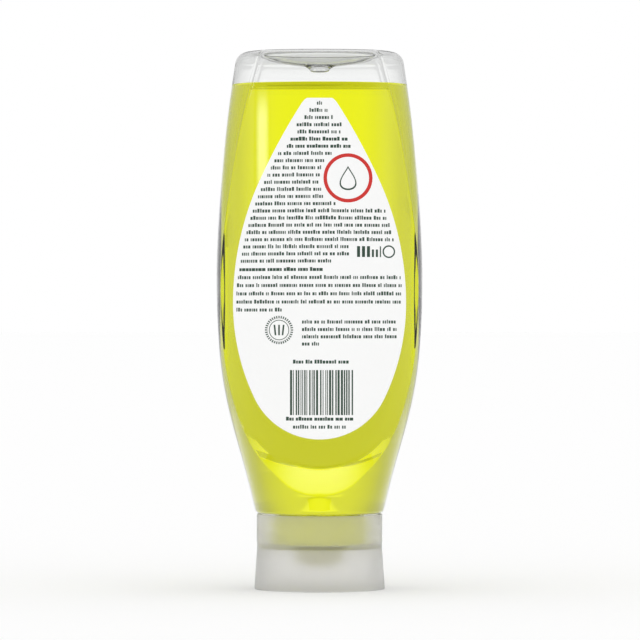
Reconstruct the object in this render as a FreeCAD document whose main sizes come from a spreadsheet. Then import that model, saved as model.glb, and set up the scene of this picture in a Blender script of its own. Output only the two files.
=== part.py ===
import FreeCAD, Part
import Sketcher
import math
import os

# A squeeze bottle of dish soap that stands upside down on its wide cap.
# Millimetres, +Z up, origin at the middle of the cap's foot. The label faces -Y.

SIZES = [
    ("overall_height", 230.0, "cap foot to bottle base"),
    ("cap_height", 32.1, "cap foot to the top edge of its skirt"),
    ("cap_radius", 26.9, "skirt above the parting step"),
    ("foot_radius", 27.9, "skirt where it stands"),
    ("foot_land", 1.4, "straight height at the foot"),
    ("skirt_wall", 1.5, "wall of the skirt"),
    ("skirt_edge_round", 0.5, "rounding of the skirt's outer edges"),
    ("parting_height", 20.2, "height of the step round the skirt"),
    ("parting_step", 0.15, "depth of that step"),
    ("deck_height", 19.2, "top face of the cap's deck"),
    ("deck_wall", 1.5, "thickness of the deck"),
    ("thread_clearance", 0.3, "neck to threaded collar, all round"),
    ("collar_wall", 1.6, "wall of the threaded collar"),
    ("collar_top_gap", 1.5, "collar to the underside of the shoulder"),
    ("seat_clearance", 0.1, "flat faces that seat on each other"),
    ("housing_radius", 9.0, "bore that holds the valve"),
    ("housing_wall", 1.3, "wall round the valve"),
    ("housing_depth", 5.8, "deck top down to the valve's seat"),
    ("seat_wall", 1.4, "thickness of the valve's seat"),
    ("outlet_radius", 6.3, "outlet below the valve"),
    ("outlet_wall", 1.2, "wall of the outlet's lip"),
    ("outlet_lip", 2.0, "lip below the valve's seat"),
    ("valve_clearance", 0.4, "valve to housing and to outlet, all round"),
    ("flange_wall", 1.2, "thickness of the valve's flange"),
    ("sleeve_wall", 0.5, "wall of the valve's sleeve"),
    ("head_drop", 1.3, "head of the valve, inside, below its seat"),
    ("head_rim_wall", 1.1, "thickness of the head at its rim"),
    ("head_middle_wall", 0.6, "thickness of the head at its middle"),
    ("slit_length", 6.4, "length of each slit in the head"),
    ("slit_width", 0.2, "width of each slit"),
    ("snap_clearance", 0.05, "retainer to housing, all round"),
    ("retainer_height", 4.2, "height of the retainer"),
    ("retainer_wall", 2.2, "wall of the retainer's ring"),
    ("baffle_wall", 0.9, "thickness of the retainer's baffle"),
    ("window_radius", 1.7, "each round window in the baffle"),
    ("window_circle", 4.5, "distance of the windows from the axis"),
    ("window_count", 6, "number of windows"),
    ("liner_wall", 0.8, "thickness of the sealing liner"),
    ("liner_width", 2.8, "width of the liner's ring"),
    ("liner_clearance", 0.4, "liner to threaded collar, all round"),
    ("shoulder_gap", 0.4, "skirt's top edge to the bottle's shoulder"),
    ("neck_radius", 19.0, "neck of the bottle"),
    ("neck_wall", 1.6, "wall of the neck"),
    ("bottle_wall", 0.75, "wall of the blown bottle"),
    ("shoulder_round", 1.5, "rounding at the foot of the shoulder"),
    ("heel_round", 4.5, "rounding round the bottle's base"),
    ("panel_rise", 1.94, "how far each label panel stands out past the shoulder's foot"),
    ("panel_radius", 57.0, "curve of each label panel"),
    ("bevel_radius", 50.6, "curve of the crescent bevel"),
    ("bevel_height", 19.2, "shoulder foot to the bevel's upper edge"),
    ("bevel_slope", 4.6, "lean of the bevel in degrees"),
    ("bevel_reach", 33.5, "shoulder foot to above the bevel's tips"),
    ("dish_length", 26.3, "half length of the push-up in the base"),
    ("dish_width", 18.5, "half width of the push-up"),
    ("dish_depth", 5.6, "depth of the push-up"),
    ("gate_radius", 3.9, "lump at the middle of the push-up, lower end"),
    ("gate_flare", 1.9, "how much wider the lump is at its root"),
    ("gate_depth", 8.3, "base down to the end of the lump"),
    ("cut_spare", 1.0, "how far a bore runs past what it opens into"),
    ("liquid_clearance", 0.1, "liquid to the bottle's wall"),
    ("level_height", 216.0, "surface of the liquid above the cap's foot"),
    ("label_clearance", 0.02, "label to the panel"),
    ("label_wall", 0.12, "thickness of the label film"),
    ("label_half_width", 36.8, "label at its widest"),
    ("label_widest_height", 122.4, "height of its widest place"),
    ("label_top_half_width", 6.1, "label at its flat top"),
    ("label_side_radius", 123.7, "curve of its sides"),
    ("label_side_turn", 24.8, "angle that the sides turn, in degrees"),
    ("label_upper_radius", 270.0, "curve of the sides near the top"),
    ("label_corner_round", 2.6, "rounding of the two top corners"),
    ("label_foot_radius", 30.6, "curve of the rounded foot"),
    ("label_foot_turn", 25.8, "angle of the arcs above the foot, in degrees"),
]

# Oval sections of the bottle, from the shoulder to the base: name, where its height is measured
# from, that height, half width, and how much flatter than a circle.
SECTIONS = [
    ("shoulder_foot", "foot", 0.0, 27.4, 0.0),
    ("shoulder", "foot", 17.5, 31.6, 0.05),
    ("hip", "foot", 37.5, 37.2, 0.03),
    ("lower_side", "foot", 57.5, 41.5, 0.03),
    ("side", "foot", 79.5, 43.6, 0.13),
    ("girth", "foot", 102.0, 44.2, 0.20),
    ("upper_side", "base", 55.0, 42.1, 0.20),
    ("crown", "base", 25.0, 39.1, 0.14),
    ("base", "base", 0.0, 35.4, 0.06),
]

FULL_TURN = 360
TOUCH = 0.001    # how near two places are to count as one

doc = FreeCAD.newDocument("dish_soap_bottle")
sheet = doc.addObject("Spreadsheet::Sheet", "sizes")


# Driving dimensions

def write_sheet():
    rows = list(SIZES)
    for name, start, height, width, flatness in SECTIONS:
        if height:
            rows.append((name + "_height", height, "section's distance from the bottle's " + start))
        rows.append((name + "_half_width", width, "half width of that section"))
        rows.append((name + "_flatness", flatness, "how much flatter than a circle"))
    for number, (alias, value, note) in enumerate(rows, start=1):
        sheet.set("A%d" % number, alias)
        sheet.set("B%d" % number, str(value))
        sheet.set("C%d" % number, note)
        sheet.setAlias("B%d" % number, alias)
    doc.recompute()


def expand(expression):
    """Put the sheet's name before each alias in an expression."""
    words = []
    for word in expression.split(" "):
        bare = word.strip("()")
        known = bare and sheet.getCellFromAlias(bare)
        words.append(word.replace(bare, "sizes." + bare) if known else word)
    return " ".join(words)


def value(expression):
    return float(sheet.evalExpression(expand(expression)))


def bind(thing, **expressions):
    for name, expression in expressions.items():
        thing.setExpression(name.replace("__", "."), expand(expression))
    return thing


# Levels and radii that several pieces share

SHOULDER = "cap_height + shoulder_gap"
PANEL_DEPTH = "( shoulder_foot_half_width + panel_rise )"
LINER_FOOT = "deck_height + seat_clearance"
LIP = "deck_height + seat_clearance + liner_wall + seat_clearance"
COLLAR_BORE = "neck_radius + thread_clearance"
SEAT = "deck_height - housing_depth"
FLANGE_TOP = "deck_height - housing_depth + flange_wall"
RETAINER_FOOT = "deck_height - housing_depth + flange_wall + snap_clearance"
HEAD_INSIDE = "deck_height - housing_depth - head_drop"
SLEEVE = "outlet_radius - valve_clearance"


# Shapes for the Part tools

def part(kind, name, **expressions):
    return bind(doc.addObject("Part::" + kind, name), **expressions)


def cylinder(name, radius, foot, height):
    return part("Cylinder", name, Radius=radius, Height=height, Placement__Base__z=foot)


def cut(name, base, tool):
    thing = doc.addObject("Part::Cut", name)
    thing.Base = base
    thing.Tool = tool
    return thing


def common(name, base, tool):
    thing = doc.addObject("Part::Common", name)
    thing.Base = base
    thing.Tool = tool
    return thing


def fuse(name, *shapes):
    thing = doc.addObject("Part::MultiFuse", name)
    thing.Shapes = list(shapes)
    return thing


def bottle_form(tag, inset):
    """The bottle's closed outer form, drawn in by inset on every side, without neck or push-up."""
    sections = []
    for name, start, height, width, flatness in SECTIONS:
        distance = name + "_height" if height else "( " + inset + " )"
        level = SHOULDER + " + " + distance if start == "foot" else "overall_height - " + distance
        half_width = name + "_half_width"
        sections.append(part(
            "Ellipse", tag + "_" + name,
            MajorRadius=half_width + " - ( " + inset + " )",
            MinorRadius=half_width + " * ( 1 - " + name + "_flatness ) - ( " + inset + " )",
            Placement__Base__z=level))
    rounded = doc.addObject("Part::Loft", tag + "_rounded")
    rounded.Sections = sections
    rounded.Solid = True

    # two wide cylinders leave the gently curved front and back panels
    panels = []
    for side, sign in (("front", "1"), ("back", "-1")):
        panels.append(part(
            "Cylinder", tag + "_" + side + "_panel",
            Radius="panel_radius - ( " + inset + " )", Height="overall_height",
            Placement__Base__y=sign + " * ( panel_radius - " + PANEL_DEPTH + " )"))
    lens = common(tag + "_panels", *panels)
    form = common(tag + "_body", rounded, lens)

    # a leaning cylinder bevels the panel's lower edge, front and back
    for side, sign in (("front", 1), ("back", -1)):
        block = part(
            "Box", tag + "_" + side + "_block",
            Length="4 * panel_radius", Width="2 * panel_radius", Height="bevel_reach",
            Placement__Base__x="-2 * panel_radius",
            Placement__Base__y="-2 * panel_radius" if sign > 0 else "0 * panel_radius",
            Placement__Base__z=SHOULDER)
        leaning = part(
            "Cylinder", tag + "_" + side + "_leaning",
            Radius="bevel_radius - ( " + inset + " )", Height="2 * overall_height",
            Placement__Rotation__Angle="%d * bevel_slope" % sign,
            Placement__Base__y="%d * ( bevel_radius - " % sign + PANEL_DEPTH + " + ( overall_height + "
            + SHOULDER + " + bevel_height ) * tan( bevel_slope ) )",
            Placement__Base__z="-1 * overall_height")
        leaning.Placement.Rotation.Axis = FreeCAD.Vector(1, 0, 0)
        outside = cut(tag + "_" + side + "_outside", block, leaning)
        form = cut(tag + "_" + side + "_bevelled", form, outside)
    doc.recompute()
    return form


def rounded_ends(name, form, top, foot, top_radius, foot_radius):
    """Round the edges that lie in the top face and in the bottom face."""
    edges = []
    for number, edge in enumerate(form.Shape.Edges, start=1):
        heights = [vertex.Z for vertex in edge.Vertexes]
        if min(heights) > top - TOUCH:
            edges.append((number, top_radius, top_radius))
        if max(heights) < foot + TOUCH:
            edges.append((number, foot_radius, foot_radius))
    thing = doc.addObject("Part::Fillet", name)
    thing.Base = form
    thing.Edges = edges
    doc.recompute()
    return thing


# Bottle: a blown shell with a neck, two label panels and a push-up in its base

def make_bottle():
    top = value("overall_height")
    foot = value(SHOULDER)
    wall = value("bottle_wall")
    outer = rounded_ends("outer_form", bottle_form("outer", "0"), top, foot,
                         value("heel_round"), value("shoulder_round"))
    cavity = rounded_ends("cavity_form", bottle_form("cavity", "bottle_wall"), top - wall, foot + wall,
                          value("heel_round") - wall, value("shoulder_round") - wall)
    dish = part("Ellipsoid", "dish", Radius1="dish_depth", Radius2="dish_length", Radius3="dish_width",
                Placement__Base__z="overall_height")
    neck = cylinder("neck", "neck_radius", LIP, SHOULDER + " + bottle_wall - ( " + LIP + " )")
    solid = cut("solid_bottle", fuse("necked_form", outer, neck), dish)
    bore = cylinder("neck_bore", "neck_radius - neck_wall", LIP + " - cut_spare",
                    SHOULDER + " + bottle_wall + 2 * cut_spare - ( " + LIP + " )")
    hollow = cut("hollow", fuse("necked_hollow", cavity, bore), dish_inside("dish_inside", "bottle_wall"))
    return cut("bottle", solid, hollow)


def dish_inside(name, wall):
    """The push-up as it shows inside the bottle, with the moulding lump at its middle."""
    dish = part(
        "Ellipsoid", name + "_dish",
        Radius1="dish_depth + " + wall, Radius2="dish_length + " + wall, Radius3="dish_width + " + wall,
        Placement__Base__z="overall_height")
    lump = part(
        "Cone", name + "_lump",
        Radius1="gate_radius + " + wall + " - bottle_wall",
        Radius2="gate_radius + gate_flare + " + wall + " - bottle_wall",
        Height="gate_depth - dish_depth / 2 + " + wall + " - bottle_wall",
        Placement__Base__z="overall_height - gate_depth - ( " + wall + " - bottle_wall )")
    return fuse(name, dish, lump)


# Liquid: fills the bottle and its neck up to the level

def make_liquid():
    inset = "bottle_wall + liquid_clearance"
    form = bottle_form("liquid", inset)
    column = cylinder("liquid_column", "neck_radius - neck_wall - liquid_clearance", LIP,
                      SHOULDER + " + bottle_wall + cut_spare - ( " + LIP + " )")
    whole = cut("liquid_whole", fuse("liquid_joined", form, column), dish_inside("liquid_dish", inset))
    below = part("Box", "below_level", Length="4 * panel_radius", Width="4 * panel_radius",
                 Height="level_height", Placement__Base__x="-2 * panel_radius",
                 Placement__Base__y="-2 * panel_radius")
    return common("dish_soap", whole, below)


# Label: a teardrop of thin film that follows the front panel

def label_outline():
    """Arcs that run smoothly into one another, from the foot up one side and down the other."""
    half_width = value("label_half_width")
    widest = value("label_widest_height")
    foot_radius = value("label_foot_radius")
    foot_turn = math.radians(value("label_foot_turn"))
    low_radius = (half_width - foot_radius * math.cos(foot_turn)) / (1 - math.cos(foot_turn))
    foot_middle = widest - (low_radius - foot_radius) * math.sin(foot_turn)
    side_radius = value("label_side_radius")
    side_turn = math.radians(value("label_side_turn"))
    upper_radius = value("label_upper_radius")
    upper_x = half_width - side_radius + (side_radius - upper_radius) * math.cos(side_turn)
    upper_z = widest + (side_radius - upper_radius) * math.sin(side_turn)
    top_turn = math.acos((value("label_top_half_width") - upper_x) / upper_radius)

    def on_circle(x, z, radius, angle):
        return FreeCAD.Vector(x + radius * math.cos(angle), 0, z + radius * math.sin(angle))

    stretches = [
        (0, foot_middle, foot_radius, -math.pi / 2, -foot_turn),
        (half_width - low_radius, widest, low_radius, -foot_turn, 0),
        (half_width - side_radius, widest, side_radius, 0, side_turn),
        (upper_x, upper_z, upper_radius, side_turn, top_turn),
    ]
    right = []
    for x, z, radius, start, end in stretches:
        places = [on_circle(x, z, radius, angle) for angle in (start, (start + end) / 2, end)]
        right.append(Part.Arc(*places).toShape())
    corner = on_circle(upper_x, upper_z, upper_radius, top_turn)
    flat = Part.makeLine(corner, FreeCAD.Vector(-corner.x, 0, corner.z))
    left = [edge.mirror(FreeCAD.Vector(0, 0, 0), FreeCAD.Vector(1, 0, 0)) for edge in right]
    return Part.Wire(Part.__sortEdges__(right + [flat] + left))


def make_label():
    depth = value(PANEL_DEPTH)
    prism = Part.Face(label_outline()).extrude(FreeCAD.Vector(0, -2 * depth, 0))
    top = prism.BoundBox.ZMax
    corners = [edge for edge in prism.Edges
               if edge.Length > depth and all(abs(vertex.Z - top) < TOUCH for vertex in edge.Vertexes)
               and abs(edge.Vertexes[0].X - edge.Vertexes[-1].X) < TOUCH]
    prism = prism.makeFillet(value("label_corner_round"), corners)
    middle = FreeCAD.Vector(0, value("panel_radius") - depth, 0)
    skin_radius = value("panel_radius + label_clearance")
    outer = Part.makeCylinder(skin_radius + value("label_wall"), value("overall_height"), middle)
    inner = Part.makeCylinder(skin_radius, value("overall_height"), middle)
    label = doc.addObject("Part::Feature", "back_label")
    label.Shape = prism.common(outer.cut(inner)).Solids[0]
    return label


# Turned pieces: a profile of (radius, height) corners, turned about the Z axis

def plane(body, role):
    return [feature for feature in body.Origin.OriginFeatures if feature.Role == role][0]


def sketch_on(body, role, name):
    sketch = body.newObject("Sketcher::SketchObject", name)
    sketch.AttachmentSupport = [(plane(body, role), "")]
    sketch.MapMode = "FlatFace"
    return sketch


def draw_corners(sketch, corners):
    """Closed outline of straight lines, each corner placed by two expressions."""
    places = [FreeCAD.Vector(value(x), value(y), 0) for x, y in corners]
    count = len(places)
    for number in range(count):
        sketch.addGeometry(Part.LineSegment(places[number], places[(number + 1) % count]))
    for number in range(count):
        sketch.addConstraint(Sketcher.Constraint("Coincident", number, 2, (number + 1) % count, 1))
    for number, (x, y) in enumerate(corners):
        for kind, axis, expression in (("DistanceX", -2, x), ("DistanceY", -1, y)):
            if expression == "0":
                sketch.addConstraint(Sketcher.Constraint("PointOnObject", number, 1, axis))
                continue
            here = value(expression)
            index = sketch.addConstraint(Sketcher.Constraint(kind, -1, 1, number, 1, here))
            sketch.setExpression("Constraints[%d]" % index, expand(expression))


def turned_body(name, corners):
    body = doc.addObject("PartDesign::Body", name)
    sketch = sketch_on(body, "XZ_Plane", name + "_profile")
    draw_corners(sketch, corners)
    turned = body.newObject("PartDesign::Revolution", name + "_turned")
    turned.Profile = sketch
    turned.ReferenceAxis = (sketch, ["V_Axis"])
    turned.Angle = FULL_TURN
    sketch.Visibility = False
    doc.recompute()
    return body


def pocket(body, sketch, name):
    """Cut through everything above the sketch, and check that it really cuts."""
    before = body.Shape.Volume
    thing = body.newObject("PartDesign::Pocket", name)
    thing.Profile = sketch
    thing.Type = "ThroughAll"
    thing.Reversed = True
    doc.recompute()
    if body.Shape.Volume >= before:
        raise RuntimeError(name + " cuts nothing")
    return thing


# Cap: skirt that the bottle stands on, deck, threaded collar and valve housing

def make_cap():
    skirt_bore = "cap_radius - skirt_wall"
    deck_under = "deck_height - deck_wall"
    housing = "housing_radius + housing_wall"
    lip = "outlet_radius + outlet_wall"
    under_seat = SEAT + " - seat_wall"
    collar_top = SHOULDER + " - collar_top_gap"
    cap = turned_body("cap", [
        ("cap_radius", "cap_height"),
        ("cap_radius", "parting_height"),
        ("cap_radius - parting_step", "parting_height"),
        ("cap_radius - parting_step", deck_under),
        ("foot_radius", "foot_land"),
        ("foot_radius", "0"),
        ("foot_radius - skirt_wall", "0"),
        ("foot_radius - skirt_wall", "foot_land"),
        (skirt_bore, deck_under),
        (housing, deck_under),
        (housing, under_seat),
        (lip, under_seat),
        (lip, under_seat + " - outlet_lip"),
        ("outlet_radius", under_seat + " - outlet_lip"),
        ("outlet_radius", SEAT),
        ("housing_radius", SEAT),
        ("housing_radius", "deck_height"),
        (COLLAR_BORE, "deck_height"),
        (COLLAR_BORE, collar_top),
        (COLLAR_BORE + " + collar_wall", collar_top),
        (COLLAR_BORE + " + collar_wall", "deck_height"),
        (skirt_bore, "deck_height"),
        (skirt_bore, "cap_height"),
    ])
    outer_edges = []
    for number, edge in enumerate(cap.Shape.Edges, start=1):
        if not isinstance(edge.Curve, Part.Circle):
            continue
        at_top = abs(edge.Curve.Radius - value("cap_radius")) < TOUCH
        at_top = at_top and abs(edge.Curve.Center.z - value("cap_height")) < TOUCH
        at_foot = abs(edge.Curve.Radius - value("foot_radius")) < TOUCH and edge.Curve.Center.z < TOUCH
        if at_top or at_foot:
            outer_edges.append("Edge%d" % number)
    turned = cap.Tip
    rounding = cap.newObject("PartDesign::Fillet", "skirt_edges")
    rounding.Base = (turned, outer_edges)
    bind(rounding, Radius="skirt_edge_round")
    doc.recompute()
    return cap


# Valve: a silicone flange, a thin sleeve and a dished head with crossed slits

def make_valve():
    valve = turned_body("valve", [
        ("0", HEAD_INSIDE + " - head_middle_wall"),
        (SLEEVE, HEAD_INSIDE + " - head_rim_wall"),
        (SLEEVE, SEAT),
        ("housing_radius - valve_clearance", SEAT),
        ("housing_radius - valve_clearance", FLANGE_TOP),
        (SLEEVE + " - sleeve_wall", FLANGE_TOP),
        (SLEEVE + " - sleeve_wall", HEAD_INSIDE),
        ("0", HEAD_INSIDE),
    ])
    sketch = sketch_on(valve, "XY_Plane", "slits_outline")
    long, short = "slit_length / 2", "slit_width / 2"
    quarter = [(long, short), (short, short), (short, long)]
    corners = []
    for x_sign, y_sign, order in ((1, 1, 1), (-1, 1, -1), (-1, -1, 1), (1, -1, -1)):
        for x, y in quarter[::order]:
            corners.append(("%d * ( %s )" % (x_sign, x), "%d * ( %s )" % (y_sign, y)))
    draw_corners(sketch, corners)
    pocket(valve, sketch, "slits")
    return valve


# Retainer: a snap ring over the valve, with a baffle pierced by round windows

def make_retainer():
    bore = "housing_radius - snap_clearance - retainer_wall"
    top = RETAINER_FOOT + " + retainer_height"
    retainer = turned_body("valve_retainer", [
        ("0", top + " - baffle_wall"),
        (bore, top + " - baffle_wall"),
        (bore, RETAINER_FOOT),
        ("housing_radius - snap_clearance", RETAINER_FOOT),
        ("housing_radius - snap_clearance", top),
        ("0", top),
    ])
    sketch = sketch_on(retainer, "XY_Plane", "window_outline")
    middle = FreeCAD.Vector(value("window_circle"), 0, 0)
    sketch.addGeometry(Part.Circle(middle, FreeCAD.Vector(0, 0, 1), value("window_radius")))
    sketch.addConstraint(Sketcher.Constraint("PointOnObject", 0, 3, -1))
    place = sketch.addConstraint(Sketcher.Constraint("DistanceX", -1, 1, 0, 3, value("window_circle")))
    sketch.setExpression("Constraints[%d]" % place, expand("window_circle"))
    size = sketch.addConstraint(Sketcher.Constraint("Radius", 0, value("window_radius")))
    sketch.setExpression("Constraints[%d]" % size, expand("window_radius"))
    window = pocket(retainer, sketch, "window")
    pattern = retainer.newObject("PartDesign::PolarPattern", "windows")
    pattern.Originals = [window]
    pattern.Axis = (sketch, ["N_Axis"])
    pattern.Angle = FULL_TURN
    bind(pattern, Occurrences="window_count")
    retainer.Tip = pattern
    doc.recompute()
    return retainer


# Liner: a soft ring on the deck that the neck's lip presses on

def make_liner():
    outside = COLLAR_BORE + " - liner_clearance"
    return turned_body("neck_liner", [
        (outside + " - liner_width", LINER_FOOT),
        (outside, LINER_FOOT),
        (outside, LINER_FOOT + " + liner_wall"),
        (outside + " - liner_width", LINER_FOOT + " + liner_wall"),
    ])


write_sheet()
pieces = [make_bottle(), make_liquid(), make_label(), make_cap(), make_valve(), make_retainer(), make_liner()]
doc.recompute()

for thing in doc.Objects:
    if "Invalid" in thing.State or "Error" in thing.State:
        raise RuntimeError(thing.Name + " failed: " + str(thing.State))
os.makedirs("parts", exist_ok=True)
for piece in pieces:
    if piece.Shape.isNull() or not piece.Shape.isValid():
        raise RuntimeError(piece.Label + " has no valid shape")
for piece in pieces:
    piece.Shape.exportStep("parts/" + piece.Label + ".step")
    print(piece.Label, len(piece.Shape.Solids), "solid,", round(piece.Shape.Volume / 1000, 2), "ml")
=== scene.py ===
import math
import random

import bmesh
import bpy
import numpy as np
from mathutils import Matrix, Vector


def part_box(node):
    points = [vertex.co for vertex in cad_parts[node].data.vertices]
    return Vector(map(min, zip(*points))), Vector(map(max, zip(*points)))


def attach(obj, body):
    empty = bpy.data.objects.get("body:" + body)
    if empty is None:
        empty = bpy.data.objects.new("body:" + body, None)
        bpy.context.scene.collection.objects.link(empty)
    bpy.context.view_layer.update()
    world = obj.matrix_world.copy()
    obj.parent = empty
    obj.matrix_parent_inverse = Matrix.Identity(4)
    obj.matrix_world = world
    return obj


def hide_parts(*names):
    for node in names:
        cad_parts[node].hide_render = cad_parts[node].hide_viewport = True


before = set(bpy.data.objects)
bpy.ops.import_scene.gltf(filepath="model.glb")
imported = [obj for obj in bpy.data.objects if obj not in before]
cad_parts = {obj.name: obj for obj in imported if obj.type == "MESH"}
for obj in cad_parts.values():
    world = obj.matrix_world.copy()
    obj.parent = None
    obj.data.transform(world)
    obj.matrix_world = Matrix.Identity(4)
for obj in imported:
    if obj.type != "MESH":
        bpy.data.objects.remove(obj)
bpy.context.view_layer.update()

MM = 0.001
random.seed(7)


# Sizes of the bottle, as in the frame

BOTTLE_LOW, BOTTLE_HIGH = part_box("bottle")
CAP_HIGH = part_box("cap")[1]
SOAP_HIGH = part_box("dish_soap")[1]
LABEL_LOW, LABEL_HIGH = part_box("back_label")

TOP = BOTTLE_HIGH[2]
LIP = BOTTLE_LOW[2]
LEVEL = SOAP_HIGH[2]
SHOULDER_GAP = 0.4 * MM
SHOULDER_FOOT = CAP_HIGH[2] + SHOULDER_GAP
NECK_RADIUS = 19.0 * MM
NECK_WALL = 1.6 * MM
WALL = 0.75 * MM
HEEL_ROUND = 4.5 * MM
SHOULDER_ROUND = 1.5 * MM
PANEL_DEPTH = -BOTTLE_LOW[1]
PANEL_RADIUS = 57.0 * MM
BEVEL_RADIUS = 50.6 * MM
BEVEL_EDGE = SHOULDER_FOOT + 19.2 * MM
BEVEL_SLOPE = math.radians(4.6)
BEVEL_REACH = SHOULDER_FOOT + 33.5 * MM

# how softly two surfaces meet: outside and on the soap, on the shell's inner surface, and at the bevel
CRISP = 0.10 * MM
SOFT = 0.25 * MM
BEVEL_SOFTNESS = 0.02 * MM

# beads along the creases
BEVEL_BEAD = 0.25 * MM
BEVEL_BEAD_REACH = 0.05 * MM
PANEL_BEAD = 0.25 * MM
PANEL_BEAD_REACH = 0.15 * MM

# the squarer section low on the body: in full between the first two heights, and gone by the third
SQUARENESS = 0.3
SQUARE_FROM = 45 * MM
SQUARE_TO = 58 * MM
SQUARE_END = 92 * MM

# push-up in the base, and its moulding lump
DISH_LENGTH = 26.3 * MM
DISH_WIDTH = 18.5 * MM
DISH_DEPTH = 5.6 * MM
GATE_RADIUS = 4.6 * MM
GATE_DROP = 2.3 * MM

# oval sections: height, half width, half depth
SECTIONS = np.array([
    (SHOULDER_FOOT / MM, 27.4, 27.4),
    (SHOULDER_FOOT / MM + 17.5, 31.6, 30.0),
    (SHOULDER_FOOT / MM + 37.5, 37.2, 36.1),
    (SHOULDER_FOOT / MM + 57.5, 41.5, 40.3),
    (SHOULDER_FOOT / MM + 79.5, 43.6, 37.9),
    (SHOULDER_FOOT / MM + 102.0, 44.2, 35.4),
    (TOP / MM - 55.0, 42.1, 33.7),
    (TOP / MM - 25.0, 39.1, 33.6),
    (TOP / MM, 35.4, 33.3),
]) * MM


# Small mesh helpers

def collection_add(name, mesh):
    thing = bpy.data.objects.new(name, mesh)
    bpy.context.scene.collection.objects.link(thing)
    return thing


def mesh_piece(name, points, faces, material, smooth_angle=None):
    mesh = bpy.data.meshes.new(name)
    mesh.from_pydata([tuple(p) for p in points], [], [tuple(f) for f in faces])
    mesh.validate()
    mesh.shade_smooth()
    if smooth_angle is not None:
        mesh.set_sharp_from_angle(angle=math.radians(smooth_angle))
    mesh.materials.append(material)
    return collection_add(name, mesh)


def closed_grid(rows, first_pole=None, last_pole=None):
    """Points and faces of stacked rings. Each pole is a point that closes an end."""
    count = len(rows[0])
    points = np.concatenate(rows)
    faces = []
    for row in range(len(rows) - 1):
        low = row * count
        for column in range(count):
            beside = (column + 1) % count
            faces.append((low + column, low + beside, low + count + beside, low + count + column))
    extra = []
    if first_pole is not None:
        pole = len(points) + len(extra)
        extra.append(first_pole)
        faces.extend((pole, (column + 1) % count, column) for column in range(count))
    if last_pole is not None:
        pole = len(points) + len(extra)
        extra.append(last_pole)
        last = (len(rows) - 1) * count
        faces.extend((pole, last + column, last + (column + 1) % count) for column in range(count))
    if extra:
        points = np.concatenate([points, np.array(extra)])
    return points, faces


def natural_spline(knots, values):
    """Smooth curve through the values, with no bending at its two ends."""
    count = len(knots)
    steps = np.diff(knots)
    matrix = np.eye(count)
    right = np.zeros(count)
    for i in range(1, count - 1):
        matrix[i, i - 1] = steps[i - 1]
        matrix[i, i] = 2 * (steps[i - 1] + steps[i])
        matrix[i, i + 1] = steps[i]
        slopes = np.diff(values[i - 1:i + 2]) / steps[i - 1:i + 1]
        right[i] = 6 * (slopes[1] - slopes[0])
    bends = np.linalg.solve(matrix, right)

    def curve(x):
        i = int(np.clip(np.searchsorted(knots, x) - 1, 0, count - 2))
        h = steps[i]
        a = (knots[i + 1] - x) / h
        b = (x - knots[i]) / h
        return (a * values[i] + b * values[i + 1]
                + ((a ** 3 - a) * bends[i] + (b ** 3 - b) * bends[i + 1]) * h * h / 6)

    return curve


half_width = natural_spline(SECTIONS[:, 0], SECTIONS[:, 1])
half_depth = natural_spline(SECTIONS[:, 0], SECTIONS[:, 2])


# The bottle's form: distance from the axis in each direction at one height

def ease(value, start, end):
    """Smooth step from 0 at start to 1 at end."""
    share = np.clip((value - start) / (end - start), 0, 1)
    return share * share * (3 - 2 * share)


def oval_radius(angles, height, inset):
    """Oval section, a little squarer low down on the body."""
    wide = half_width(height) - inset
    deep = half_depth(height) - inset
    squarer = ease(height, SHOULDER_FOOT, SQUARE_FROM) * (1 - ease(height, SQUARE_TO, SQUARE_END))
    power = 2 + SQUARENESS * squarer
    return (np.abs(np.cos(angles) / wide) ** power + np.abs(np.sin(angles) / deep) ** power) ** (-1 / power)


def panel_distance(angles, depth, radius):
    """Distance to a wide cylinder, front or back, whose nearest line is at that depth."""
    side = np.abs(np.sin(angles))
    middle = radius - depth
    return -side * middle + np.sqrt(side ** 2 * middle ** 2 + radius ** 2 - middle ** 2)


def soft_minimum(one, other, softness):
    lower = np.minimum(one, other)
    return lower - softness * np.log1p(np.exp(-np.abs(one - other) / softness))


def crease_bead(one, other, rise, reach):
    """Small bead along the line where two surfaces meet. Reach is given in their difference there."""
    return rise * np.exp(-((one - other) / reach) ** 2)


def form_radius(angles, height, inset, softness):
    """Distance from the axis, with the panels and the bevels cut. Only crisp surfaces have beads."""
    beaded = softness == CRISP
    oval = oval_radius(angles, height, inset)
    panel = panel_distance(angles, PANEL_DEPTH - inset, PANEL_RADIUS - inset)
    radius = soft_minimum(oval, panel, softness)
    if beaded:
        radius += crease_bead(oval, panel, PANEL_BEAD, PANEL_BEAD_REACH)
    if height < BEVEL_REACH:
        depth = PANEL_DEPTH - inset + (height - BEVEL_EDGE) * math.tan(BEVEL_SLOPE)
        bevel = panel_distance(angles, depth, BEVEL_RADIUS - inset)
        if beaded:
            radius += crease_bead(radius, bevel, BEVEL_BEAD, BEVEL_BEAD_REACH)
        radius = soft_minimum(radius, bevel, BEVEL_SOFTNESS)
    return radius


def crease_angle(height):
    """Where the side band meets the panel, seen from the axis."""
    angles = np.linspace(0.05, math.radians(52), 400)
    apart = oval_radius(angles, height, 0) - panel_distance(angles, PANEL_DEPTH, PANEL_RADIUS)
    return angles[np.argmax(apart > 0)] if (apart > 0).any() else angles[-1]


CREASE_HEIGHTS = np.linspace(SHOULDER_FOOT, TOP, 60)
CREASE_ANGLES = np.array([crease_angle(height) for height in CREASE_HEIGHTS])
CREASE_LOWEST = SHOULDER_FOOT + 30 * MM
lowest_angle = np.interp(CREASE_LOWEST, CREASE_HEIGHTS, CREASE_ANGLES)
CREASE_ANGLES[CREASE_HEIGHTS < CREASE_LOWEST] = lowest_angle

BAND_COLUMNS = 20
PANEL_COLUMNS = 52
CROWDING = 1.2    # how much the columns crowd towards the crease


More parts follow.
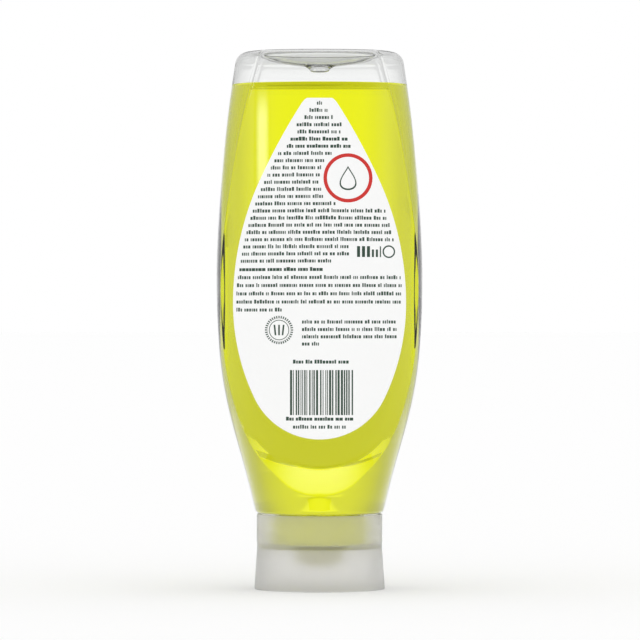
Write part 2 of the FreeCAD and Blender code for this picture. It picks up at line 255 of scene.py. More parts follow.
def column_angles(height):
    """Directions of one ring's points. They crowd where the side band meets the panel."""
    crease = np.interp(height, CREASE_HEIGHTS, CREASE_ANGLES)
    band = 1 - np.linspace(1, 0, BAND_COLUMNS, endpoint=False) ** CROWDING
    panel = np.linspace(0, 1, PANEL_COLUMNS, endpoint=False) ** CROWDING
    quarter = np.concatenate([crease * band, crease + (math.pi / 2 - crease) * panel])
    half = np.concatenate([quarter, [math.pi / 2], math.pi - quarter[:0:-1]])
    return np.concatenate([half, half + math.pi])


def ring(radius, height, angles):
    return np.stack([radius * np.cos(angles), radius * np.sin(angles), np.full(len(angles), height)], axis=1)


def form_ring(height, inset, softness):
    angles = column_angles(height)
    level = float(np.clip(height, SHOULDER_FOOT, TOP))
    return ring(form_radius(angles, level, inset, softness), height, angles)


def between(first, last, count):
    """Rings spaced evenly from one ring to another."""
    return [first + (last - first) * share for share in np.linspace(0, 1, count + 2)[1:-1]]


def side_heights(low, high, close):
    """Heights of the rings up the side: close together down where the bevel's edges run."""
    wide = 2.5 * MM
    heights = [low]
    while heights[-1] < high:
        step = close if heights[-1] < SHOULDER_FOOT + 32 * MM else wide
        heights.append(heights[-1] + step)
    heights = [height for height in heights if height < high - 0.3 * MM and abs(height - LEVEL) > 0.8 * MM]
    if low < LEVEL < high:
        heights.append(LEVEL)
    return sorted(heights) + [high]


def dish_height(share, depth):
    """Depth of the push-up below the base, from 1 at its rim to 0 at its middle."""
    return depth * (1 - share ** 2) ** 0.75


def top_rings(inset, gate_drop, softness):
    """Rings over the base: the flat standing ring, then the push-up with its moulding lump."""
    level = TOP - inset
    heel = max(HEEL_ROUND, inset)
    edge = form_ring(TOP, heel, softness)
    edge[:, 2] = level
    angles = column_angles(TOP)
    rim = np.stack([(DISH_LENGTH + inset) * np.cos(angles), (DISH_WIDTH + inset) * np.sin(angles),
                    np.full(len(angles), level)], axis=1)
    rings = between(edge, rim, 5)
    for share in np.sin(np.linspace(math.pi / 2, 0, 34, endpoint=False)):
        here = rim.copy()
        here[:, :2] *= share
        across = np.hypot(here[:, 0], here[:, 1])
        lump = gate_drop / (1 + np.exp((across - GATE_RADIUS) / (0.45 * MM)))
        here[:, 2] = level - dish_height(share, DISH_DEPTH) - lump
        rings.append(here)
    pole = (0, 0, level - DISH_DEPTH - gate_drop)
    return rings, pole


def rounded_edge(centre_height, round_radius, inset, softness, upward, count):
    """Rings round a rounded edge, at the heel or at the shoulder's foot."""
    rings = []
    for turn in np.linspace(0, math.pi / 2, count):
        rise = round_radius * math.sin(turn)
        height = centre_height + (rise if upward else -rise)
        drawn_in = inset + round_radius * (1 - math.cos(turn))
        rings.append(form_ring(height, drawn_in, softness))
    return rings


def side_rings(inset, neck_radius, softness, high, close):
    """Rings from the neck's lip out round the shoulder's foot, then up the side, short of the height given."""
    foot = SHOULDER_FOOT + inset
    foot_round = SHOULDER_ROUND - inset
    angles = column_angles(SHOULDER_FOOT)
    lip = ring(neck_radius, LIP, angles)
    root = ring(neck_radius, foot, angles)
    shoulder = rounded_edge(foot + foot_round, foot_round, inset, softness, False, 6)[::-1]
    rings = [lip] + between(lip, root, 6) + [root] + between(root, shoulder[0], 5) + shoulder
    for height in side_heights(foot + foot_round, high, close)[1:-1]:
        rings.append(form_ring(height, inset, softness))
    return rings


def shell_rings(inset, neck_radius, softness, gate_drop, close):
    """One surface of the bottle, from the neck's lip up to the middle of the base."""
    heel_round = HEEL_ROUND - inset
    heel = TOP - inset - heel_round
    rings = side_rings(inset, neck_radius, softness, heel, close)
    rings += rounded_edge(heel, heel_round, inset, softness, True, 12)
    top, pole = top_rings(inset, gate_drop, softness)
    return rings + top, pole


# Materials

def new_material(name):
    material = bpy.data.materials.new(name)
    material.use_nodes = True
    nodes = material.node_tree.nodes
    shader = nodes["Principled BSDF"]
    return material, nodes, material.node_tree.links, shader


def set_inputs(shader, **values):
    names = {name.lower().replace(" ", "_"): name for name in shader.inputs.keys()}
    for key, amount in values.items():
        shader.inputs[names[key]].default_value = amount


def add_bump(nodes, links, shader, scale, strength, distance, detail=2.0):
    noise = nodes.new("ShaderNodeTexNoise")
    noise.inputs["Scale"].default_value = scale
    noise.inputs["Detail"].default_value = detail
    place = nodes.new("ShaderNodeTexCoord")
    links.new(place.outputs["Object"], noise.inputs["Vector"])
    bump = nodes.new("ShaderNodeBump")
    bump.inputs["Strength"].default_value = strength
    bump.inputs["Distance"].default_value = distance
    links.new(noise.outputs["Fac"], bump.inputs["Height"])
    links.new(bump.outputs["Normal"], shader.inputs["Normal"])
    return noise


def clear_plastic(name, ior, gloss, coat):
    """The shell's plastic. Gloss is the share of its reflections that the surface keeps."""
    material, nodes, links, shader = new_material(name)
    set_inputs(shader, base_color=(0.985, 0.99, 0.985, 1), roughness=0.0, ior=ior, transmission_weight=1.0,
               specular_tint=(gloss, gloss, gloss, 1), coat_weight=coat, coat_roughness=0.0)
    add_bump(nodes, links, shader, scale=35, strength=0.25, distance=0.4 * MM, detail=1.0)
    return material


def soap():
    material, nodes, links, shader = new_material("soap")
    set_inputs(shader, base_color=(1, 1, 1, 1), roughness=0.0, ior=1.37, transmission_weight=1.0,
               specular_tint=(0.1, 0.1, 0.1, 1))
    add_bump(nodes, links, shader, scale=35, strength=0.25, distance=0.4 * MM, detail=1.0)
    absorb = nodes.new("ShaderNodeVolumeAbsorption")
    absorb.inputs["Color"].default_value = (0.98, 0.985, 0.06, 1)
    absorb.inputs["Density"].default_value = 80
    links.new(absorb.outputs["Volume"], nodes["Material Output"].inputs["Volume"])
    return material


def frosted_plastic(name, color, transmission):
    material, nodes, links, shader = new_material(name)
    set_inputs(shader, base_color=color, roughness=0.45, ior=1.3, transmission_weight=transmission)
    add_bump(nodes, links, shader, scale=900, strength=0.15, distance=0.05 * MM, detail=3.0)
    return material


def plain_plastic(name, color, roughness, transmission=0.0):
    material, nodes, links, shader = new_material(name)
    set_inputs(shader, base_color=color, roughness=roughness, transmission_weight=transmission)
    add_bump(nodes, links, shader, scale=700, strength=0.1, distance=0.05 * MM)
    return material


def two_tone(name, dark, light, roughness, scale, distance):
    """Label film or ink, whose colour drifts a little between two tones."""
    material, nodes, links, shader = new_material(name)
    set_inputs(shader, roughness=roughness)
    noise = add_bump(nodes, links, shader, scale=scale, strength=0.05, distance=distance)
    ramp = nodes.new("ShaderNodeValToRGB")
    ramp.color_ramp.elements[0].color = dark
    ramp.color_ramp.elements[1].color = light
    links.new(noise.outputs["Fac"], ramp.inputs["Fac"])
    links.new(ramp.outputs["Color"], shader.inputs["Base Color"])
    return material


# Bottle and soap

OUTER_RING_STEP = 0.7 * MM
INNER_RING_STEP = 1.5 * MM


def make_bottle():
    outer, outer_pole = shell_rings(0, NECK_RADIUS, CRISP, 0, OUTER_RING_STEP)
    inner, inner_pole = shell_rings(WALL, NECK_RADIUS - NECK_WALL, SOFT, GATE_DROP, INNER_RING_STEP)
    rings = inner[::-1] + outer
    points, faces = closed_grid(rings, inner_pole, outer_pole)
    bottle = mesh_piece("bottle_shell", points, faces, clear_plastic("clear_bottle", 1.55, 1.0, 0.0))

    # Below the level the wall only adds its gloss, and its inner face doesn't show. The soap's surface, drawn
    # just inside the outer face, bends the light for both. With all three surfaces the label's back was dark.
    bottle.data.materials.append(clear_plastic("clear_bottle_inside", 1.55, 0.3, 0.0))
    bottle.data.materials.append(clear_plastic("clear_bottle_filled", 1.0, 0.0, 1.0))
    wetted = clear_plastic("clear_bottle_wetted", 1.0, 0.0, 0.0)
    set_inputs(wetted.node_tree.nodes["Principled BSDF"], alpha=0.0)
    bottle.data.materials.append(wetted)
    for polygon in bottle.data.polygons:
        inside = min(polygon.vertices) // len(inner[0]) < len(inner) - 1
        filled = polygon.center.z < LEVEL
        polygon.material_index = 2 * filled + inside
    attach(bottle, "bottle")
    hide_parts("bottle")


SOAP_INSET = 0.15 * MM
SOAP_RING_STEP = 0.3 * MM
MENISCUS_RISE = 0.5 * MM
MENISCUS_REACH = 2.0 * MM


def make_soap():
    """The liquid, with a flat end in the neck and a level that rises a little at the wall."""
    side = side_rings(SOAP_INSET, NECK_RADIUS - NECK_WALL, CRISP, LEVEL, SOAP_RING_STEP)
    low = side[0]
    rings = between(low * (0, 0, 1), low, 6) + side
    edge = form_ring(LEVEL, SOAP_INSET, CRISP)
    across = np.hypot(edge[:, 0], edge[:, 1])[:, None]
    for reach in np.linspace(0, MENISCUS_REACH, 7):
        here = edge.copy()
        here[:, :2] *= 1 - reach / across
        here[:, 2] = LEVEL - MENISCUS_RISE * (1 - (1 - reach / MENISCUS_REACH) ** 2)
        rings.append(here)
    last = rings[-1]
    rings += between(last, last * (0, 0, 1), 16)
    points, faces = closed_grid(rings, (0, 0, LIP), (0, 0, LEVEL - MENISCUS_RISE))
    piece = mesh_piece("soap_fill", points, faces, soap())
    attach(piece, "bottle")
    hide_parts("dish_soap")


# Turned pieces

TURNED_COLUMNS = 160
TURNED_CREASE = 35


def rounded_corners(corners, radius):
    """Outline with each corner cut by a small arc."""
    outline = []
    count = len(corners)
    for i, corner in enumerate(corners):
        here = Vector(corner)
        before = Vector(corners[i - 1]) - here
        after = Vector(corners[(i + 1) % count]) - here
        reach = min(radius, before.length * 0.45, after.length * 0.45)
        start = here + before.normalized() * reach
        end = here + after.normalized() * reach
        for share in np.linspace(0, 1, 5):
            outline.append(tuple(start * (1 - share) ** 2 + here * 2 * share * (1 - share) + end * share ** 2))
    return outline


def turned(name, corners, radius, material, body, nodes):
    """Round piece from its outline of (radius, height) corners."""
    angles = np.linspace(0, 2 * math.pi, TURNED_COLUMNS, endpoint=False)
    outline = rounded_corners(corners, radius)
    rows = [ring(r, z, angles) for r, z in outline]
    points, faces = closed_grid(rows + [rows[0]])
    piece = mesh_piece(name, points, faces, material, TURNED_CREASE)
    weld(piece)
    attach(piece, body)
    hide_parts(*nodes)
    return piece


def weld(thing):
    work = bmesh.new()
    work.from_mesh(thing.data)
    bmesh.ops.remove_doubles(work, verts=work.verts, dist=0.002 * MM)
    bmesh.ops.recalc_face_normals(work, faces=work.faces)
    work.to_mesh(thing.data)
    work.free()


def make_cap():
    foot = CAP_HIGH[0]
    r = foot - 1.0 * MM
    foot_band = 1.4 * MM
    wall = 1.5 * MM
    deck = 19.2 * MM
    under = deck - 1.5 * MM
    parting = 20.2 * MM
    step = 0.15 * MM
    seat, seat_wall = deck - 5.8 * MM, 1.4 * MM
    under_seat = seat - seat_wall
    housing, housing_wall = 9.0 * MM, 1.3 * MM
    outlet, outlet_wall, lip = 6.3 * MM, 1.2 * MM, 2.0 * MM
    collar = NECK_RADIUS + 0.3 * MM
    collar_wall = 1.6 * MM
    collar_top = SHOULDER_FOOT - 1.5 * MM
    high = CAP_HIGH[2]
    corners = [
        (r, high), (r, parting), (r - step, parting), (r - step, under), (foot, foot_band), (foot, 0),
        (foot - wall, 0), (foot - wall, foot_band), (r - wall, under), (housing + housing_wall, under),
        (housing + housing_wall, under_seat), (outlet + outlet_wall, under_seat),
        (outlet + outlet_wall, under_seat - lip), (outlet, under_seat - lip), (outlet, seat),
        (housing, seat), (housing, deck), (collar, deck), (collar, collar_top),
        (collar + collar_wall, collar_top), (collar + collar_wall, deck), (r - wall, deck), (r - wall, high),
    ]
    frosted = frosted_plastic("frosted_cap", (0.985, 0.98, 0.965, 1), 0.86)
    cap = turned("frosted_cap", corners, 0.35 * MM, frosted, "cap", ["cap"])

    # painted glow: the collar round the neck is coloured yellow-green, and the valve's housing warm yellow, for
    # the soap's light that shines through the cap; neither is see-through
    near = 0.1 * MM
    cap.data.materials.append(frosted_plastic("collar_painted_soap_glow", (0.90, 0.91, 0.04, 1), 0.0))
    cap.data.materials.append(frosted_plastic("housing_painted_soap_glow", (0.90, 0.88, 0.62, 1), 0.0))
    for polygon in cap.data.polygons:
        out = math.hypot(polygon.center.x, polygon.center.y)
        if polygon.center.z > deck and out < collar + collar_wall + near:
            polygon.material_index = 1
        elif polygon.center.z < under and out < housing + housing_wall + near:
            polygon.material_index = 2


# Label: film on the front panel, with generic print

LABEL_LIFT = 0.02 * MM
FILM_WALL = 0.12 * MM
LABEL_HALF_WIDTH = LABEL_HIGH[0]
LABEL_FOOT = LABEL_LOW[2]
LABEL_TOP = LABEL_HIGH[2]
LABEL_WIDEST = 122.4 * MM


def label_curves():
    """Middle, radius and upper end of each arc on the right side of the label."""
    foot_radius, foot_turn = 30.6 * MM, math.radians(25.8)
    side_radius, side_turn = 123.7 * MM, math.radians(24.8)
    upper_radius = 270.0 * MM
    low_radius = (LABEL_HALF_WIDTH - foot_radius * math.cos(foot_turn)) / (1 - math.cos(foot_turn))
    foot_middle = LABEL_WIDEST - (low_radius - foot_radius) * math.sin(foot_turn)
    side_end = LABEL_WIDEST + side_radius * math.sin(side_turn)
    upper_x = LABEL_HALF_WIDTH - side_radius + (side_radius - upper_radius) * math.cos(side_turn)
    upper_z = LABEL_WIDEST + (side_radius - upper_radius) * math.sin(side_turn)
    return [
        (0, foot_middle, foot_radius, foot_middle - foot_radius * math.sin(foot_turn)),
        (LABEL_HALF_WIDTH - low_radius, LABEL_WIDEST, low_radius, LABEL_WIDEST),
        (LABEL_HALF_WIDTH - side_radius, LABEL_WIDEST, side_radius, side_end),
        (upper_x, upper_z, upper_radius, LABEL_TOP),
    ]


LABEL_ARCS = label_curves()
LABEL_CORNER = 2.4 * MM


def label_width_at(height):
    """Half width of the label at a height."""
    for x, z, radius, end in LABEL_ARCS:
        if height <= end + 1e-9:
            break
    half = x + math.sqrt(max(radius ** 2 - (height - z) ** 2, 0))
    below_top = LABEL_TOP - height
    if below_top < LABEL_CORNER:
        short = 1 - below_top / LABEL_CORNER
        half -= 0.42 * LABEL_CORNER * (1 - math.sqrt(max(1 - short ** 2, 0)))
    return half


def on_panel(x, z, lift):
    """Point on the front panel at that width and height, lifted off it."""
    radius = PANEL_RADIUS + lift
    return (x, PANEL_RADIUS - PANEL_DEPTH - math.sqrt(radius ** 2 - x ** 2), z)


def make_label():
    """Closed sheet: an outer and an inner layer on the panel, joined round the rim."""
    rows, columns = 120, 40
    layer = rows * columns
    turns = np.linspace(0, math.pi, rows)
    heights = LABEL_FOOT + (LABEL_TOP - LABEL_FOOT) * (1 - np.cos(turns)) / 2
    heights[0] += 0.01 * MM
    points = []
    for lift in (LABEL_LIFT + FILM_WALL, LABEL_LIFT):
        for height in heights:
            half = label_width_at(height)
            for share in np.linspace(-1, 1, columns):
                points.append(on_panel(half * share, height, lift))
    faces = []
    for row in range(rows - 1):
        for column in range(columns - 1):
            a = row * columns + column
            quad = (a, a + 1, a + columns + 1, a + columns)
            faces.append(quad)
            faces.append(tuple(layer + i for i in quad[::-1]))
    rim = list(range(columns))
    rim += [row * columns + columns - 1 for row in range(1, rows)]
    rim += [(rows - 1) * columns + column for column in range(columns - 2, -1, -1)]
    rim += [row * columns for row in range(rows - 2, 0, -1)]
    for i, here in enumerate(rim):
        there = rim[(i + 1) % len(rim)]
        faces.append((here, layer + here, layer + there, there))
    film = two_tone("label_film", (0.955, 0.96, 0.955, 1), (0.985, 0.985, 0.98, 1), 0.45, 1200, 0.02 * MM)
    piece = mesh_piece("label_sheet", points, faces, film, 40)
    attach(piece, "bottle")
    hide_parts("back_label")


# Print, in places given on the photograph and turned into the label's own millimetres

PIXEL = 0.4289 * MM          # at the bottle's axis
PHOTO_MIDDLE = 319.5
PHOTO_EYE = 320.0
EYE_HEIGHT = 115.2 * MM
CAMERA_DISTANCE = 1940 * MM
INK_LIFT = LABEL_LIFT + FILM_WALL + 0.015 * MM


def from_photo(px, py):
    """Place on the front panel that shows at that pixel."""
    x = (px - PHOTO_MIDDLE) * PIXEL
    near = PANEL_DEPTH * 0.9
    nearer = (CAMERA_DISTANCE - near) / CAMERA_DISTANCE
    return x * nearer, EYE_HEIGHT + (PHOTO_EYE - py) * PIXEL * nearer


SIDE_STEPS = 8
STRIP_WIDTH = 1.2 * MM


def finely(outline):
    """The same closed outline with each side cut into steps."""
    result = []
    for i, (x, z) in enumerate(outline):
        next_x, next_z = outline[(i + 1) % len(outline)]
        for share in np.linspace(0, 1, SIDE_STEPS, endpoint=False):
            result.append((x + (next_x - x) * share, z + (next_z - z) * share))
    return result


class Print:
    """Flat shapes gathered into one mesh on the label."""

    def __init__(self):
        self.points = []
        self.faces = []

    def shape(self, outline):
        start = len(self.points)
        self.points.extend(on_panel(x, z, INK_LIFT) for x, z in outline)
        self.faces.append(tuple(range(start, start + len(outline))))

    def block(self, x, z, width, tall):
        self.bar(x, z, x + width, z + tall)

    def bar(self, x0, z0, x1, z1):
        """Upright rectangle, cut into strips that follow the panel's curve."""
        strips = math.ceil(abs(x1 - x0) / STRIP_WIDTH)
        edges = np.linspace(x0, x1, strips + 1)
        for left, right in zip(edges[:-1], edges[1:]):
            self.shape([(left, z0), (right, z0), (right, z1), (left, z1)])

    def band(self, outer, inner):
        """Closed band between two outlines with the same number of corners."""
        outer = finely(outer)
        inner = finely(inner)
        count = len(outer)
        for i in range(count):
            j = (i + 1) % count
            self.shape([outer[i], outer[j], inner[j], inner[i]])

    def finish(self, name, material):
        piece = mesh_piece(name, self.points, self.faces, material)
        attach(piece, "bottle")


BLOCK_WIDTHS = (0.45, 0.6, 0.75, 0.9)
BLOCK_GAP = 0.3 * MM
WORD_GAP = 0.7 * MM


def small_print(sheet, left, right, base, tall, heavy=1.0):
    """One row of make-believe print: groups of small blocks, with no letters."""
    x = left
    while x < right - 0.6 * MM:
        for _ in range(random.randint(2, 8)):
            width = random.choice(BLOCK_WIDTHS) * MM * heavy
            if x + width > right:
                x = right
                break
            rise = tall * (1.3 if random.random() < 0.2 else 1.0)
            sheet.block(x, base, width, rise)
            x += width + BLOCK_GAP / heavy
        x += WORD_GAP


def even_turns(count):
    return [2 * math.pi * i / count for i in range(count)]


def ring_outline(x, z, radius):
    return [(x + radius * math.cos(turn), z + radius * math.sin(turn)) for turn in even_turns(48)]


def drop_outline(x, z, radius):
    """Plain drop with its point upward."""
    return [(x + radius * math.sin(turn) * math.sin(turn / 2) ** 1.6, z + radius * math.cos(turn))
            for turn in even_turns(40)]


def make_print():
    green = two_tone("green_ink", (0.018, 0.055, 0.032, 1), (0.035, 0.085, 0.055, 1), 0.4, 2500, 0.01 * MM)
    red = two_tone("red_ink", (0.62, 0.014, 0.010, 1), (0.70, 0.022, 0.015, 1), 0.4, 2500, 0.01 * MM)
    dark = Print()

    # the narrow top rows, then the block that runs round the red mark
    badge_x, badge_z = from_photo(348, 178)
    badge_reach = 10.4 * MM
    row_pitch = 3.03 * MM
    _, first = from_photo(0, 105)
    tall = 1.25 * MM
    edge_gap = 2.0 * MM
    clear = badge_reach + 1.6 * MM
    top_indents = (6.5, 4.6, 4.2, 1.8, 5.2, 3.2, 3.4)
    for row in range(23):
        base = first - row * row_pitch
        indent = top_indents[row] * 0.62 * MM if row < len(top_indents) else 0
        half = label_width_at(base + tall) - indent - edge_gap
        left, right = -half, half
        away = abs(base + tall / 2 - badge_z)
        if away < clear:
            right = badge_x - math.sqrt(clear ** 2 - away ** 2)
        if row in (20, 21):
            right = from_photo(350, 0)[0]
        if row == 22:
            right = from_photo(333, 0)[0]
        small_print(dark, left, right, base, tall, 1.35 if row in (5, 6) else 1.0)

    # plain blocks and a ring beside the last rows
    x, z = from_photo(357, 257)
    for width, rise in ((1.3, 4.6), (1.3, 4.6), (1.3, 4.6), (0.9, 3.2), (0.9, 3.2), (0.5, 4.6)):
        dark.block(x, z, width * MM, rise * MM)
        x += (width + 0.8) * MM
    x, z = from_photo(389, 251.5)
    dark.band(ring_outline(x, z, 2.7 * MM), ring_outline(x, z, 2.1 * MM))

    # lower rows: each baseline and its two ends on the photograph, and how heavy the row is
    for py, left, right, heavy in (
            (271, 239, 323, 1.6), (279, 237.5, 402, 1), (287, 236.5, 402, 1), (295.3, 236, 403, 1),
            (303.5, 236, 403, 1), (311.5, 236, 284, 1), (323.5, 302, 397, 1), (331, 302, 397, 1),
            (338.3, 302, 397, 1), (345.5, 302, 320, 1), (363.5, 293, 349, 1.2),
            (420.5, 286, 354, 1.6), (428.5, 293, 347, 1)):
        x0, base = from_photo(left, py)
        x1, _ = from_photo(right, py)
        small_print(dark, x0, x1, base, tall, heavy)

    # plain upright bars of uneven width
    x, low = from_photo(290, 415)
    end, high = from_photo(353, 370)
    while x < end:
        width = random.choice((0.35, 0.35, 0.6, 0.9)) * MM
        dark.bar(x, low, min(x + width, end), high)
        x += width + random.choice((0.35, 0.5, 0.8)) * MM

    # round mark: a ring of ticks round three plain strokes
    x, z = from_photo(279, 330)
    wide = math.radians(2.6)
    for turn in even_turns(36):
        corners = []
        for radius, angle in ((4.9, -wide), (6.0, -wide), (6.0, wide), (4.9, wide)):
            corners.append((x + radius * MM * math.cos(turn + angle), z + radius * MM * math.sin(turn + angle)))
        dark.shape(corners)
    dark.band(ring_outline(x, z, 4.3 * MM), ring_outline(x, z, 4.0 * MM))
    thick, rise = 0.35 * MM, 2.2 * MM
    for lean in (-1.5 * MM, 0, 1.5 * MM):
        low, high = x + lean, x + lean * 1.3
        dark.shape([(low - thick, z - rise), (low + thick, z - rise),
                    (high + thick, z + rise), (high - thick, z + rise)])

    # plain drop, for the red ring that follows
    dark.band(drop_outline(badge_x, badge_z, 5.2 * MM), drop_outline(badge_x, badge_z - 0.1 * MM, 4.4 * MM))
    dark.finish("label_print", green)

    mark = Print()
    inside = badge_reach - 1.5 * MM
    mark.band(ring_outline(badge_x, badge_z, badge_reach), ring_outline(badge_x, badge_z, inside))
    mark.finish("label_mark", red)


# Hidden pieces keep their frame shapes and get their own finish

def finish_frame_nodes():
    finishes = {
        "valve": plain_plastic("silicone", (0.80, 0.80, 0.78, 1), 0.45, 0.3),
        "valve_retainer": plain_plastic("retainer_plastic", (0.82, 0.82, 0.80, 1), 0.4, 0.2),
        "neck_liner": plain_plastic("liner_foam", (0.88, 0.88, 0.86, 1), 0.7),
    }
    for name, material in finishes.items():
        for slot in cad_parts[name].material_slots:
            slot.material = material


# Floor, light and camera

def feed(links, socket, value):
    """Gives a socket a plain number or colour, or links another socket to it."""
    if isinstance(value, (float, tuple)):
        socket.default_value = value
    else:
        links.new(value, socket)


def math_node(nodes, links, operation, *values):
    node = nodes.new("ShaderNodeMath")
    node.operation = operation
    for socket, value in zip(node.inputs, values):
        feed(links, socket, value)
    return node.outputs["Value"]


def mix_node(nodes, links, factor, first, second, blend="MIX"):
    node = nodes.new("ShaderNodeMix")
    node.data_type = "RGBA"
    node.blend_type = blend
    for name, value in (("Factor", factor), ("A", first), ("B", second)):
        feed(links, node.inputs[name], value)
    return node.outputs["Result"]


def grey_ramp(nodes, links, value, stops):
    """Colour ramp of greys from (place, brightness) pairs."""
    ramp = nodes.new("ShaderNodeValToRGB")
    elements = ramp.color_ramp.elements
    while len(elements) < len(stops):
        elements.new(0.5)
    for element, (place, grey) in zip(elements, stops):
        element.position = place
        element.color = (grey, grey, grey, 1)
    links.new(value, ramp.inputs["Fac"])
    return ramp.outputs["Color"]


def length_from_axis(nodes, links):
    """Distance of the shaded place from the bottle's axis."""
    place = nodes.new("ShaderNodeTexCoord")
    length = nodes.new("ShaderNodeVectorMath")
    length.operation = "LENGTH"
    links.new(place.outputs["Object"], length.inputs[0])
    return length.outputs["Value"]


def in_glass_or_gloss(nodes, links, path):
    """1 where the surface is seen through glass or in gloss, and 0 elsewhere."""
    gloss, through = path.outputs["Is Glossy Ray"], path.outputs["Is Transmission Ray"]
    return math_node(nodes, links, "MAXIMUM", gloss, through)


FLOOR_SIZE = 40.0
FLOOR_DROP = 0.01 * MM
FLOOR_WHITE = (0.99, 0.99, 0.99, 1)

# What glass and gloss see of the floor, by distance in metres: a painted pool of light round the bottle, darker
# farther off
FLOOR_STOPS = ((0.0, 1.0), (0.45, 1.0), (0.75, 0.64), (1.0, 0.64))


def make_floor():
    mesh = bpy.data.meshes.new("floor")
    corners = [(-FLOOR_SIZE, -FLOOR_SIZE, 0), (FLOOR_SIZE, -FLOOR_SIZE, 0),
               (FLOOR_SIZE, FLOOR_SIZE, 0), (-FLOOR_SIZE, FLOOR_SIZE, 0)]
    mesh.from_pydata(corners, [], [(0, 1, 2, 3)])
    material, nodes, links, shader = new_material("floor")
    set_inputs(shader, roughness=1.0, specular_ior_level=0.0)
    path = nodes.new("ShaderNodeLightPath")
    # painted pool of light, seen only in glass and gloss; the camera sees the plain white floor
    far = grey_ramp(nodes, links, length_from_axis(nodes, links), FLOOR_STOPS)
    color = mix_node(nodes, links, in_glass_or_gloss(nodes, links, path), FLOOR_WHITE, far)
    links.new(color, shader.inputs["Base Color"])
    mesh.materials.append(material)
    floor = collection_add("floor", mesh)
    floor.location.z = -FLOOR_DROP


# What glass and gloss see of the studio. The first two run from the backdrop behind the bottle, at 0, to the
# side by the camera, at 1, which is dim in gloss. The third runs from straight down to straight up.
THROUGH_STOPS = ((0.0, 1.0), (0.067, 0.98), (0.111, 0.86), (0.167, 0.68), (0.278, 0.62), (0.45, 0.72),
                 (0.6, 0.86), (1.0, 0.86))
GLOSS_STOPS = ((0.0, 1.0), (0.167, 0.8), (0.66, 0.8), (0.73, 0.25), (0.8, 0.1), (1.0, 0.08))
UP_STOPS = ((0.0, 0.64), (0.49, 0.64), (0.4975, 1.0), (0.530, 1.0), (0.536, 0.78), (0.7, 0.8), (1.0, 0.85))


def make_world():
    world = bpy.data.worlds.new("studio")
    world.use_nodes = True
    bpy.context.scene.world = world
    nodes = world.node_tree.nodes
    links = world.node_tree.links
    shader = nodes["Background"]
    place = nodes.new("ShaderNodeTexCoord")
    parts = nodes.new("ShaderNodeSeparateXYZ")
    links.new(place.outputs["Generated"], parts.inputs["Vector"])
    path = nodes.new("ShaderNodeLightPath")

    turn = math_node(nodes, links, "ARCTAN2", parts.outputs["X"], parts.outputs["Y"])
    size = math_node(nodes, links, "ABSOLUTE", turn)
    share = math_node(nodes, links, "DIVIDE", size, math.pi)
    gloss = grey_ramp(nodes, links, share, GLOSS_STOPS)
    through = grey_ramp(nodes, links, share, THROUGH_STOPS)
    around = mix_node(nodes, links, path.outputs["Is Transmission Ray"], gloss, through)

    height = math_node(nodes, links, "MULTIPLY_ADD", parts.outputs["Z"], 0.5, 0.5)
    upward = grey_ramp(nodes, links, height, UP_STOPS)
    studio = mix_node(nodes, links, 1.0, around, upward, "MULTIPLY")
    color = mix_node(nodes, links, in_glass_or_gloss(nodes, links, path), (1.0, 1.0, 1.0, 1.0), studio)
    links.new(color, shader.inputs["Color"])
    shader.inputs["Strength"].default_value = 1.0


def soft_step(nodes, links, value, start, end, height):
    """Smooth rise from 0 at start to height at end."""
    step = nodes.new("ShaderNodeMapRange")
    step.interpolation_type = "SMOOTHSTEP"
    step.inputs["From Min"].default_value = start
    step.inputs["From Max"].default_value = end
    step.inputs["To Max"].default_value = height
    links.new(value, step.inputs["Value"])
    return step.outputs["Result"]


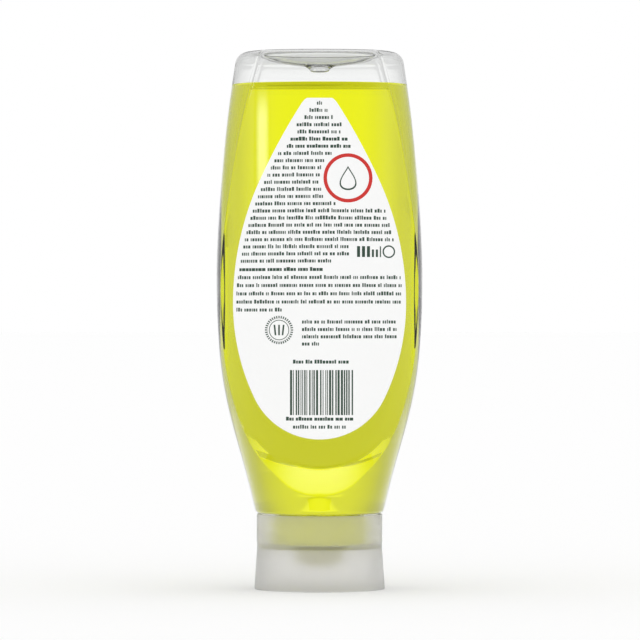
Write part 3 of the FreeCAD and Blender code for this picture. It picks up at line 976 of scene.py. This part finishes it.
def make_softbox(name, place, turn, half_width, height, strength):
    """Flat lamp with soft edges that shows only in gloss. Its foot's middle is at the place."""
    mesh = bpy.data.meshes.new(name)
    mesh.from_pydata([(-1, 0, 0), (1, 0, 0), (1, 0, 1), (-1, 0, 1)], [], [(0, 1, 2, 3)])
    material, nodes, links, shader = new_material(name)
    own = nodes.new("ShaderNodeTexCoord")
    parts = nodes.new("ShaderNodeSeparateXYZ")
    links.new(own.outputs["Object"], parts.inputs["Vector"])
    aside = math_node(nodes, links, "ABSOLUTE", parts.outputs["X"])
    glow = soft_step(nodes, links, aside, 1.0, 0.2, strength)
    for start, end in ((0.0, 0.5), (1.0, 0.75)):
        edge = soft_step(nodes, links, parts.outputs["Z"], start, end, 1.0)
        glow = math_node(nodes, links, "MULTIPLY", glow, edge)
    set_inputs(shader, base_color=(0, 0, 0, 1), specular_ior_level=0.0, emission_color=(1, 1, 1, 1))
    links.new(glow, shader.inputs["Emission Strength"])
    mesh.materials.append(material)
    softbox = collection_add(name, mesh)
    softbox.location = place
    softbox.rotation_euler = turn
    softbox.scale = (half_width, 1, height)
    softbox.visible_camera = False
    softbox.visible_diffuse = False
    softbox.visible_transmission = False
    softbox.visible_shadow = False


def make_softboxes():
    """One stands on the left, for the streak beside the label. One lies in front, for the crescent's sheen."""
    angle = math.radians(129)
    away = 1.8
    left = (-away * math.sin(angle), away * math.cos(angle), 0.18)
    make_softbox("left_softbox", left, (0, 0, angle), 0.24, 0.13, 6.0)
    make_softbox("front_softbox", (0, -0.13, 2 * MM), (math.pi / 2, 0, 0), 0.3, 0.3, 3.2)


CARD_START, CARD_END = 3.9, 4.7
CARD_SPREAD = 0.27
CARD_GREY = 0.4
CARD_LIFT = 1.0 * MM


def make_card():
    """Grey card far behind on the floor. It darkens what the underside of the liquid's surface mirrors."""
    corners = []
    for away, sides in ((CARD_START, (-1, 1)), (CARD_END, (1, -1))):
        corners += [(side * away * CARD_SPREAD, away, CARD_LIFT) for side in sides]
    mesh = bpy.data.meshes.new("card")
    mesh.from_pydata(corners, [], [(0, 1, 2, 3)])
    material, nodes, links, shader = new_material("card")
    set_inputs(shader, base_color=(CARD_GREY, CARD_GREY, CARD_GREY, 1), roughness=1.0, specular_ior_level=0.0)
    mesh.materials.append(material)
    card = collection_add("card", mesh)
    card.visible_camera = False
    card.visible_diffuse = False
    card.visible_shadow = False


PICTURE_PIXELS = 640


def make_camera():
    data = bpy.data.cameras.new("camera")
    camera = collection_add("camera", data)
    camera.location = (0.2 * MM, -CAMERA_DISTANCE, EYE_HEIGHT)
    camera.rotation_euler = (math.pi / 2, 0, 0)
    frame_width = PICTURE_PIXELS * PIXEL
    data.angle = 2 * math.atan(frame_width / 2 / CAMERA_DISTANCE)
    data.clip_end = 100
    bpy.context.scene.camera = camera


make_bottle()
make_soap()
make_cap()
make_label()
make_print()
finish_frame_nodes()
make_floor()
make_world()
make_softboxes()
make_card()
make_camera()
bpy.context.scene.view_settings.view_transform = "Standard"
